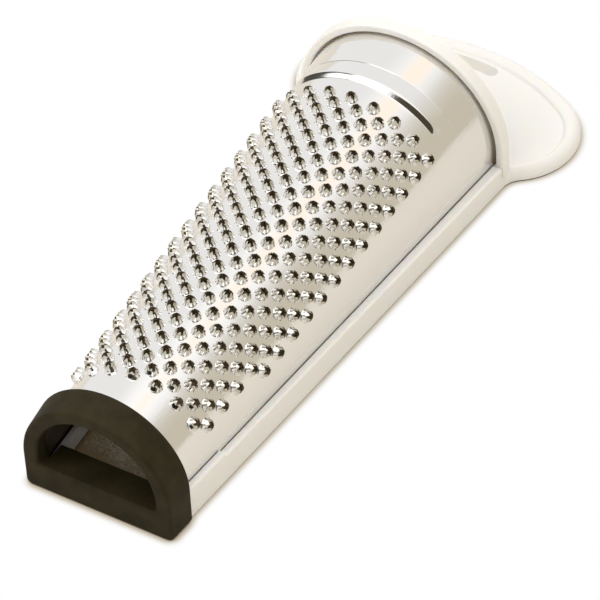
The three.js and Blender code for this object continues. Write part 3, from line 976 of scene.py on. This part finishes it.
    def handle_outline(self, inset: float) -> np.ndarray:
        """Outline of the handle, as arcs that touch: neck, corner, end, corner and neck.

        The neck's centre lies a neck radius out from the rail, and a neck and a corner radius
        from the centre of the corner.

        Args:
            inset: How much smaller the outline is drawn.

        Returns:
            The outline.
        """
        x, y, end_centre, end, corner, tilt = self.end_arcs(inset, inset)
        neck_side = self.lines.half_width(self.lines.collar_station)
        neck_x = neck_side + self.neck_radius
        reach = self.corner_radius + self.neck_radius
        drop = math.sqrt(reach ** 2 - (neck_x - x) ** 2)
        neck_y = y - drop
        meet = math.atan2(-drop, neck_x - x)
        neck = self.neck_radius + inset
        right = np.concatenate([
            [[neck_side - inset - self.neck_sink, neck_y - self.neck_radius]],
            arc(neck_x, neck_y, neck, math.pi, math.pi + meet, self.neck_steps),
            arc(x, y, corner, meet, tilt, self.arc_steps)[1:],
            arc(0, end_centre, end, tilt, QUARTER, self.arc_steps)[1:],
        ])
        left = right[-2::-1] * [-1, 1]
        return np.concatenate([right, left])

    def panel_outline(self, end_inset: float, corner_inset: float) -> np.ndarray:
        """Outline of the panel on the handle, closed by a straight front edge.

        Args:
            end_inset: Its distance from the handle's end arc.
            corner_inset: Its distance from the corner arcs.

        Returns:
            The outline.
        """
        x, y, end_centre, end, corner, tilt = self.end_arcs(end_inset, corner_inset)
        right = np.concatenate([
            arc(x, y, corner, -QUARTER, tilt, self.arc_steps),
            arc(0, end_centre, end, tilt, QUARTER, self.arc_steps)[1:],
        ])
        return np.concatenate([right, right[-2::-1] * [-1, 1]])

    def slot_outline(self, grow: float) -> np.ndarray:
        """Outline of the hanging slot: two arcs round the centre of the end arc, with round ends.

        Args:
            grow: How much larger the outline is drawn.

        Returns:
            The outline.
        """
        end_centre = self.lines.length - self.end_radius
        middle = self.end_radius - self.slot_from_end - self.slot_width / 2
        half = self.slot_width / 2 + grow
        swing = (self.slot_length - self.slot_width) / 2 / middle
        tip = np.array([0, end_centre]) + middle * np.array([math.sin(swing), math.cos(swing)])
        right = np.concatenate([
            arc(0, end_centre, middle - half, QUARTER, QUARTER - swing, self.slot_steps),
            arc(*tip, half, -QUARTER - swing, QUARTER - swing, self.slot_end_steps)[1:-1],
            arc(0, end_centre, middle + half, QUARTER - swing, QUARTER, self.slot_steps),
        ])
        return np.concatenate([right, right[-2:0:-1] * [-1, 1]])

    def upright(self, outlines: list[tuple[np.ndarray, float]]) -> bpy.types.Object:
        """A body whose like outlines lie at rising heights."""
        return body("upright", [level(outline, height) for outline, height in outlines], self.lines)

    def trough_half(self, station: float) -> float:
        """Half the width of the open space between the rails."""
        return self.lines.seat(station) - self.lines.rail_inner_wall + self.overlap

    def between(self, sides: Callable[[float], Pair], low: float, high: float,
                start: float, end: float) -> bpy.types.Object:
        """Builds a body between two side faces that follow the grater.

        Args:
            sides: The left and right faces at a station.
            low: Height of its underside.
            high: Height of its top.
            start: Station of its front.
            end: Station of its rear.

        Returns:
            The body.
        """
        ends = [(station, *sides(station)) for station in (start, end)]
        return body("between", [across(rectangle(left, low, right, high), station)
                                for station, left, right in ends], self.lines)

    def handle(self) -> bpy.types.Object:
        """Builds the handle with its rounded rim, panel, hollow underside and hanging slot.

        Returns:
            The handle.
        """
        top = self.lines.handle_top
        turns = np.linspace(0, QUARTER, self.rim_steps + 1)
        rings = [(self.handle_outline(self.edge_round), self.overlap),
                 (self.handle_outline(0.0), self.edge_round)]
        rings += [(self.handle_outline(self.rim_round * (1 - math.cos(t))),
                   top - self.rim_round * (1 - math.sin(t))) for t in turns]
        handle = self.upright(rings)
        floor = top - self.panel_depth
        border = [(inset, floor + rise) for inset, rise in self.border_low]
        border += [(inset, top + rise) for inset, rise in self.border_high]
        border.append((self.border_high[-1][0], top + PAST))
        panel = self.upright([(self.panel_outline(self.panel_inset_end + inset,
                                                  self.panel_inset + inset), z) for inset, z in border])
        hollow = self.upright([(self.panel_outline(self.rim_width, self.rim_width), z)
                               for z in (-PAST, floor - self.web)])
        boss = self.upright([(self.slot_outline(self.slot_wall), z) for z in (0.0, floor - self.web / 2)])
        slot = self.upright([(self.slot_outline(grow), z) for grow, z in (
            (-self.slot_draft, -PAST), (-self.slot_draft, self.edge_round),
            (0.0, floor - self.edge_round), (self.slot_soft, floor), (self.slot_soft, top + PAST))])
        combine(handle, [(Cut.TAKE, panel), (Cut.TAKE, hollow), (Cut.JOIN, boss), (Cut.TAKE, slot)])
        return handle

    def build(self) -> bpy.types.Object:
        """Builds the frame in one piece.

        Returns:
            The frame.
        """
        lines = self.lines
        start, collar = lines.foot_lip, lines.collar_station
        rear = collar + lines.collar_depth
        inner = lines.radius_pair[1] + self.collar_gap
        frame = self.handle()
        frame.name = "frame_body"
        trough = self.between(lambda s: (-self.trough_half(s), self.trough_half(s)),
                              -self.far, self.far, 0.0, collar + self.overlap)
        steps = [(Cut.TAKE, trough)]
        steps += [(Cut.JOIN, self.rail(side)) for side in (-1, 1)]
        steps.append((Cut.JOIN, self.arch(inner, inner + self.collar_wall, collar, rear,
                                          self.edge_round, self.collar_soft)))
        for side in (-1, 1):
            groove = self.between(
                lambda s, side=side: sorted((side * lines.seat(s), side * lines.wall_face(s))),
                lines.rail_floor, lines.axis_pair[1], start - self.overlap, lines.stop_face)
            steps.append((Cut.TAKE, groove))
        steps.append((Cut.JOIN, self.arch(
            inner - self.stop_reach, inner + self.collar_wall / 2, lines.stop_face - self.overlap,
            rear - self.collar_soft, lines.handle_top - self.collar_soft, self.overlap)))
        for side in (-1, 1):
            face = side * (lines.wall_face(collar) - lines.fit_gap)
            low, high = sorted((face, side * self.far))
            floor = lines.rail_height_pair[1] - self.relief_depth
            steps.append((Cut.TAKE, body("relief", box_rings(
                (low, collar - self.relief_width, floor), (high, collar - self.overlap, self.far)), lines)))
        half = lines.seat(start) - lines.rail_inner_wall / 2
        steps.append((Cut.JOIN, body("tie", box_rings(
            (-half, start + self.overlap, lines.rail_floor),
            (half, lines.foot_depth, lines.rail_floor + lines.tie_height)), lines)))
        combine(frame, steps)
        soften(frame, self.sharp_from)
        return frame

    def dress(self, frame: bpy.types.Object) -> None:
        """Gives the frame its finish and its place in the part.

        Args:
            frame: The frame.
        """
        frame.data.materials.clear()
        frame.data.materials.append(WhitePlastic().material())
        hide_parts("frame")
        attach(frame, "root")


@dataclass
class Foot:
    """The rubber foot: a D-shaped ring that widens towards its rear."""

    lines: Lines
    side_wall: float = 0.46
    crest_wall: float = 2.4
    taper_across: float = 0.5
    taper_up: float = 1.1
    lip_cover: float = 1.1
    opening_lift: float = 0.5
    sill: float = 6.3
    edge_round: float = 0.7
    corner_round: float = 1.2
    arch_steps: int = 64
    round_steps: int = 6
    seat_corner: float = 0.01
    sharp_from: float = 32.0

    def outline(self, half: float, centre: float, bottom: float, corner: float) -> np.ndarray:
        """An arch on straight sides, with its two bottom corners rounded.

        Args:
            half: Half its width, which is the radius of the arch.
            centre: Height of the arch's centre.
            bottom: Height of the bottom.
            corner: Radius of the bottom corners.

        Returns:
            The outline.
        """
        x, z = half - corner, bottom + corner
        return np.concatenate([
            arc(x, z, corner, -QUARTER, 0, self.round_steps),
            arc(0, centre, half, 0, math.pi, self.arch_steps),
            arc(-x, z, corner, math.pi, math.pi + QUARTER, self.round_steps),
        ])

    def section(self, station: float, inset: float) -> np.ndarray:
        """Section of the outer form, whose sides and crest fall evenly towards the front.

        Args:
            station: Where the section is taken.
            inset: How much smaller it is drawn.

        Returns:
            The section's points.
        """
        lines = self.lines
        depth = lines.foot_depth
        half = lines.half_width(depth) + lines.fit_gap + self.side_wall
        crest = (lines.at(lines.axis_pair, depth) + lines.at(lines.radius_pair, depth)
                 + lines.fit_gap + self.crest_wall)
        forward = 1 - station / depth
        half -= self.taper_across * forward + inset
        centre = crest - self.taper_up * forward - inset - half
        return across(self.outline(half, centre, inset, self.corner_round - inset), station)

    def opening_section(self, station: float, outset: float) -> np.ndarray:
        """Section of the opening.

        Args:
            station: Where the section is taken.
            outset: How much larger it is drawn.

        Returns:
            The section's points.
        """
        half = self.lines.radius_pair[0] - self.lip_cover + outset
        centre = self.lines.axis_pair[0] + self.opening_lift
        return across(self.outline(half, centre, self.sill - outset, self.corner_round), station)

    def build(self) -> bpy.types.Object:
        """Builds the foot.

        Returns:
            The foot.
        """
        lines = self.lines
        depth, lip, gap = lines.foot_depth, lines.foot_lip, lines.fit_gap
        turns = np.linspace(0, QUARTER, self.round_steps + 1)
        edge = [(self.edge_round * (1 - math.cos(t)), self.edge_round * (1 - math.sin(t))) for t in turns]
        rear = [(depth - s, inset) for s, inset in reversed(edge)]
        foot = body("foot_body", [self.section(s, inset) for s, inset in edge + rear], lines)
        hole = [(-self.edge_round, self.edge_round), *edge, (depth + PAST, 0.0)]
        opening = body("opening", [self.opening_section(s, outset) for s, outset in hole], lines)
        seat_rear = depth + gap
        seat_outline = self.outline(
            lines.at(lines.radius_pair, seat_rear) + gap,
            lines.at(lines.axis_pair, seat_rear), self.sill, self.seat_corner)
        seat = body("seat", [across(seat_outline, s) for s in (lip, seat_rear)], lines)
        widths = [(s, lines.half_width(s) + gap) for s in (lip - gap, seat_rear)]
        pocket_top = lines.rail_height_pair[0] + gap
        pocket = body("pocket", [across(rectangle(-half, -PAST, half, pocket_top), s)
                                 for s, half in widths], lines)
        half = lines.at(lines.radius_pair, lip) - lines.sheet - lines.rail_inner_wall - 2 * gap
        tie_top = lines.rail_floor + lines.tie_height + gap
        tongue = body("tongue", box_rings((-half, lip / 2, tie_top), (half, depth, self.sill)), lines)
        pad = body("pad", box_rings((-half, lip / 2, 0.0), (half, depth, lines.rail_floor - gap)), lines)
        combine(foot, [(Cut.TAKE, opening), (Cut.TAKE, seat), (Cut.TAKE, pocket),
                       (Cut.JOIN, tongue), (Cut.JOIN, pad)])
        soften(foot, self.sharp_from)
        return foot

    def dress(self, foot: bpy.types.Object) -> None:
        """Gives the foot its finish and its place in the part.

        Args:
            foot: The foot.
        """
        foot.data.materials.clear()
        foot.data.materials.append(BlackRubber().material())
        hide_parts("rubber_foot")
        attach(foot, "root")


@dataclass(frozen=True)
class Shadow:
    """A shadow on the floor: how far cover is felt, in metres, and its colours by openness."""

    reach: float
    stops: Stops
    samples: int = 16


@dataclass(frozen=True)
class SoftLight:
    """A soft light that faces the grater: its place and sides in metres, and its watts."""

    name: str
    place: Triple
    sides: Pair
    power: float
    in_gloss: bool = True

    def hang(self) -> None:
        """Hangs the light, with its second side level along the grater."""
        data = bpy.data.lights.new(self.name, "AREA")
        data.shape = "RECTANGLE"
        data.size, data.size_y = self.sides
        data.energy = self.power
        away = Vector(self.place).normalized()
        along = (Vector((0, 1, 0)) - away * away.y).normalized()
        light = stood(self.name, data, Vector(self.place), (along.cross(away), along, away))
        light.visible_glossy = self.in_gloss


@dataclass(frozen=True)
class SkyPatch:
    """A round patch of the room: where it is, its angles from full to none, and its light."""

    towards: Triple
    inner: float
    outer: float
    colour: Colour


@dataclass
class Studio:
    """Camera, soft light and the pale floor that the grater lies on."""

    lines: Lines
    camera_place: Triple = (307.35, -404.32, 539.03)
    forward: Triple = (-0.3894, 0.6077, -0.6922)
    roll: float = -0.0528
    lens: float = 231.25
    sensor: float = 36.0
    farthest: float = 20.0
    lights: tuple[SoftLight, ...] = (
        SoftLight("key", (-0.285, -0.21, 0.885), (0.54, 1.0), 2.25),
        SoftLight("fill", (0.58, -0.42, 0.7), (1.0, 0.6), 2.3, in_gloss=False),
    )
    floor_size: float = 1.0
    floor_colour: Colour = (0.77, 0.73, 0.66, 1.0)
    contact: Shadow = Shadow(0.002, (
        (0.3, (0.3, 0.23, 0.15, 1.0)), (0.6, (0.6, 0.54, 0.45, 1.0)),
        (0.8, (0.88, 0.86, 0.82, 1.0)), (0.95, WHITE),
    ))
    cover: Shadow = Shadow(0.045, ((0.2, (0.045, 0.033, 0.018, 1.0)), (0.42, WHITE)))
    sky: Colour = (0.97, 0.97, 0.985, 1.0)
    patches: tuple[SkyPatch, ...] = (
        SkyPatch((0.85, 0.52, 0.1), 10.0, 52.0, (0.66, 0.61, 0.5, 1.0)),
        SkyPatch((0.15, 0.1, 0.98), 12.0, 40.0, (1.25, 1.25, 1.25, 1.0)),
        SkyPatch((0.15, 0.57, 0.81), 3.0, 11.0, (1.24, 1.1, 0.97, 1.0)),
        SkyPatch((-0.75, -0.42, 0.5), 14.0, 22.0, (1.5, 1.5, 1.5, 1.0)),
        SkyPatch((-0.66, 0.0, 0.75), 9.0, 13.0, (0.08, 0.075, 0.06, 1.0)),
        SkyPatch((-0.88, 0.06, 0.46), 11.0, 16.0, (0.08, 0.075, 0.06, 1.0)),
        SkyPatch((-0.97, 0.0, 0.18), 16.0, 22.0, (0.08, 0.075, 0.06, 1.0)),
        SkyPatch((0.52, -0.6, 0.6), 26.0, 29.0, (0.07, 0.06, 0.04, 1.0)),
        SkyPatch((0.8, -0.52, 0.28), 26.0, 32.0, (0.07, 0.06, 0.04, 1.0)),
    )

    def camera(self) -> None:
        """Sets the camera at the photograph's place and angle."""
        data = bpy.data.cameras.new("camera")
        data.lens = self.lens
        data.sensor_width = self.sensor
        data.clip_end = self.farthest
        forward = Vector(self.forward).normalized()
        right = forward.cross(Vector((0, 0, 1))).normalized()
        up = right.cross(forward)
        turned_right = right * math.cos(self.roll) + up * math.sin(self.roll)
        turned_up = up * math.cos(self.roll) - right * math.sin(self.roll)
        place = Vector(self.camera_place) - Vector((0, self.lines.length / 2, 0))
        bpy.context.scene.camera = stood("camera", data, place * METRES,
                                         (turned_right, turned_up, -forward))

    def floor(self) -> None:
        """Lays the floor: white to the camera but for its shadows, and clear from below.

        The shadows are a narrow one where the grater touches the floor and a wide one where it
        covers the floor, and they are multiplied. All other light meets a plain matt floor.
        """
        half = self.floor_size / 2
        mesh = bpy.data.meshes.new("floor")
        mesh.from_pydata([(-half, -half, 0), (half, -half, 0), (half, half, 0), (-half, half, 0)],
                         [], [(0, 1, 2, 3)])
        nodes = Nodes(bpy.data.materials.new("floor"))
        shades = []
        for shadow in (self.contact, self.cover):
            near = nodes.add("AmbientOcclusion", Distance=shadow.reach, samples=shadow.samples)
            shades.append(nodes.ramp(near.outputs["AO"], shadow.stops))
        shade = nodes.add("VectorMath", operation="MULTIPLY", Vector=shades[0],
                          Vector_001=shades[1]).outputs["Vector"]
        top = nodes.cover(nodes.add("LightPath").outputs["Is Camera Ray"],
                          nodes.add("BsdfDiffuse", Color=self.floor_colour),
                          nodes.add("Emission", Color=shade))
        whole = nodes.cover(nodes.add("NewGeometry").outputs["Backfacing"], top,
                            nodes.add("BsdfTransparent"))
        nodes.put(nodes.first("OUTPUT_MATERIAL"), Surface=whole.outputs["Shader"])
        mesh.materials.append(nodes.owner)
        floor = linked("floor", mesh)

    def world(self) -> None:
        """Surrounds the grater with a pale room that has bright and dark patches.

        A patch is full within its inner angle from its direction and gone past its outer one.
        """
        world = bpy.data.worlds.new("studio")
        bpy.context.scene.world = world
        nodes = Nodes(world)
        place = nodes.add("TexCoord").outputs["Generated"]
        colour = self.sky
        for patch in self.patches:
            nearness = nodes.add("VectorMath", operation="DOT_PRODUCT", Vector=place,
                                 Vector_001=Vector(patch.towards).normalized())
            share = nodes.add("MapRange", interpolation_type="SMOOTHSTEP",
                              Value=nearness.outputs["Value"],
                              From_Min=math.cos(math.radians(patch.outer)),
                              From_Max=math.cos(math.radians(patch.inner)))
            colour = nodes.blend(share.outputs["Result"], colour, patch.colour)
        seen = nodes.blend(nodes.add("LightPath").outputs["Is Camera Ray"], colour, WHITE)
        nodes.put(nodes.first("BACKGROUND"), Color=seen)

    def build(self) -> None:
        """Sets up the whole studio."""
        self.camera()
        self.floor()
        for light in self.lights:
            light.hang()
        self.world()
        bpy.context.scene.view_settings.view_transform = "Standard"


def main() -> None:
    """Builds the studio and the three pieces in order."""
    logging.basicConfig(level=logging.INFO, format="%(name)s: %(message)s")
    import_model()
    lines = Lines()
    Studio(lines).build()
    for maker in (Blade(lines), Frame(lines), Foot(lines)):
        piece = maker.build()
        maker.dress(piece)
        LOG.info("%s: %d faces", piece.name, len(piece.data.polygons))


if __name__ == "__main__":
    main()
